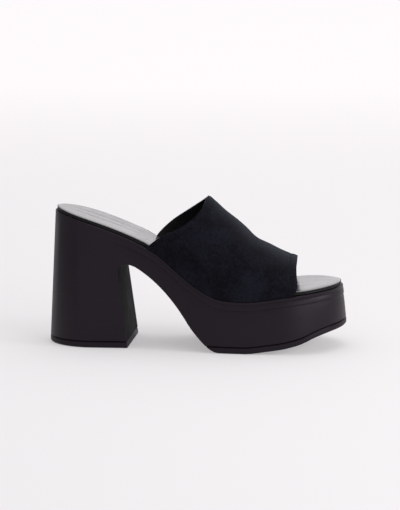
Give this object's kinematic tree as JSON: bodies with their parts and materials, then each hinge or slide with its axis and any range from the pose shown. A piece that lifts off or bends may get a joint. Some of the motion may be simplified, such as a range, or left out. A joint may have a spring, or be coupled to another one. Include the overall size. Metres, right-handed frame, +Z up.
{
  "type": "platform sandal",
  "caption": "High block-heel platform mule with one wide suede strap, a smooth leather footbed and a one-piece moulded sole.",
  "frame": {"origin": "on the ground under the centre of the shoe's box", "axes": "+X towards the toe, +Z up, -Y towards the lateral (outer) side of this right shoe"},
  "size_m": [0.2386, 0.0916, 0.1189],
  "materials": {
    "sole": "moulded, satin black",
    "outsole": "matte black rubber",
    "footbed": "smooth black leather with a sheen",
    "suede": "black suede, smooth lining"
  },
  "bodies": {
    "root": {"sole_unit": "sole", "forefoot_outsole": "outsole", "heel_top_piece": "outsole", "insole": "footbed", "upper": "suede"}
  },
  "joints": []
}
